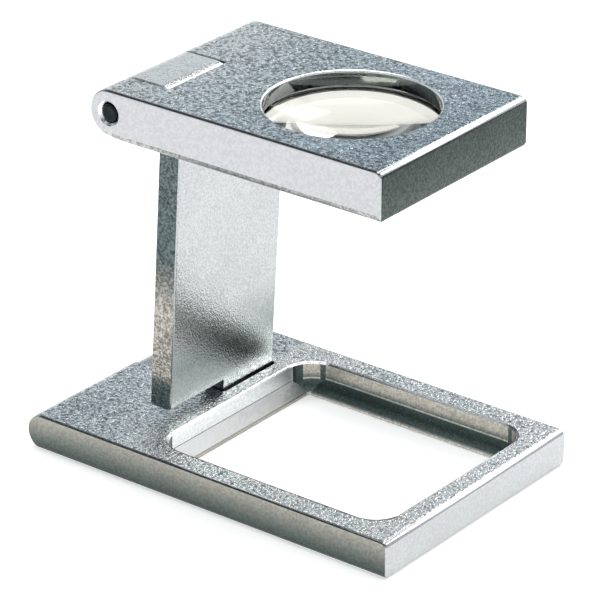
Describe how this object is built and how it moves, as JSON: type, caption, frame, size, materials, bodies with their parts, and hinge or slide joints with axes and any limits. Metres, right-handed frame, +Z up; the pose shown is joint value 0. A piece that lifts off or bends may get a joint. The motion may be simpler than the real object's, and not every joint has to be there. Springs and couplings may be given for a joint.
{
  "type": "folding thread counter",
  "caption": "Folding stand magnifier: a window base, an upright and a thick lens plate in satin chrome, joined by hinge pins so that both plates fold behind the upright.",
  "frame": {"origin": "middle of the base frame's underside, on the surface it stands on", "axes": "+X along the base from the hinge end to the free end, +Y across it away from the side where the upper hinge pin shows, +Z up"},
  "size_m": [0.05, 0.0332, 0.0442],
  "materials": {
    "base_casting": "satin chrome on a zinc die-casting, fine blasted top",
    "link_casting": "satin chrome on a zinc die-casting",
    "lens_frame_casting": "satin chrome on a zinc die-casting, blasted top, bright bore",
    "lens_glass": "polished crown glass",
    "ring_metal": "black anodised",
    "pin_steel": "blackened steel",
    "washer_steel": "spring steel"
  },
  "bodies": {
    "link": {"upright_link": "link_casting"},
    "base": {"base_frame": "base_casting", "lower_hinge_pin": "pin_steel", "lower_friction_washer": "washer_steel"},
    "lens": {"lens_frame": "lens_frame_casting", "magnifier_lens": "lens_glass", "lens_retaining_ring": "ring_metal", "upper_hinge_pin": "pin_steel", "upper_friction_washer": "washer_steel"}
  },
  "joints": [
    {"name": "base_hinge", "type": "hinge", "parent": "link", "child": "base", "pos_m": [-0.02283, 0, 0.00217], "axis": [0, 1, 0], "range_deg": [0, 273]},
    {"name": "lens_hinge", "type": "hinge", "parent": "link", "child": "lens", "pos_m": [-0.015, 0, 0.04155], "axis": [0, -1, 0], "range_deg": [0, 267]}
  ]
}
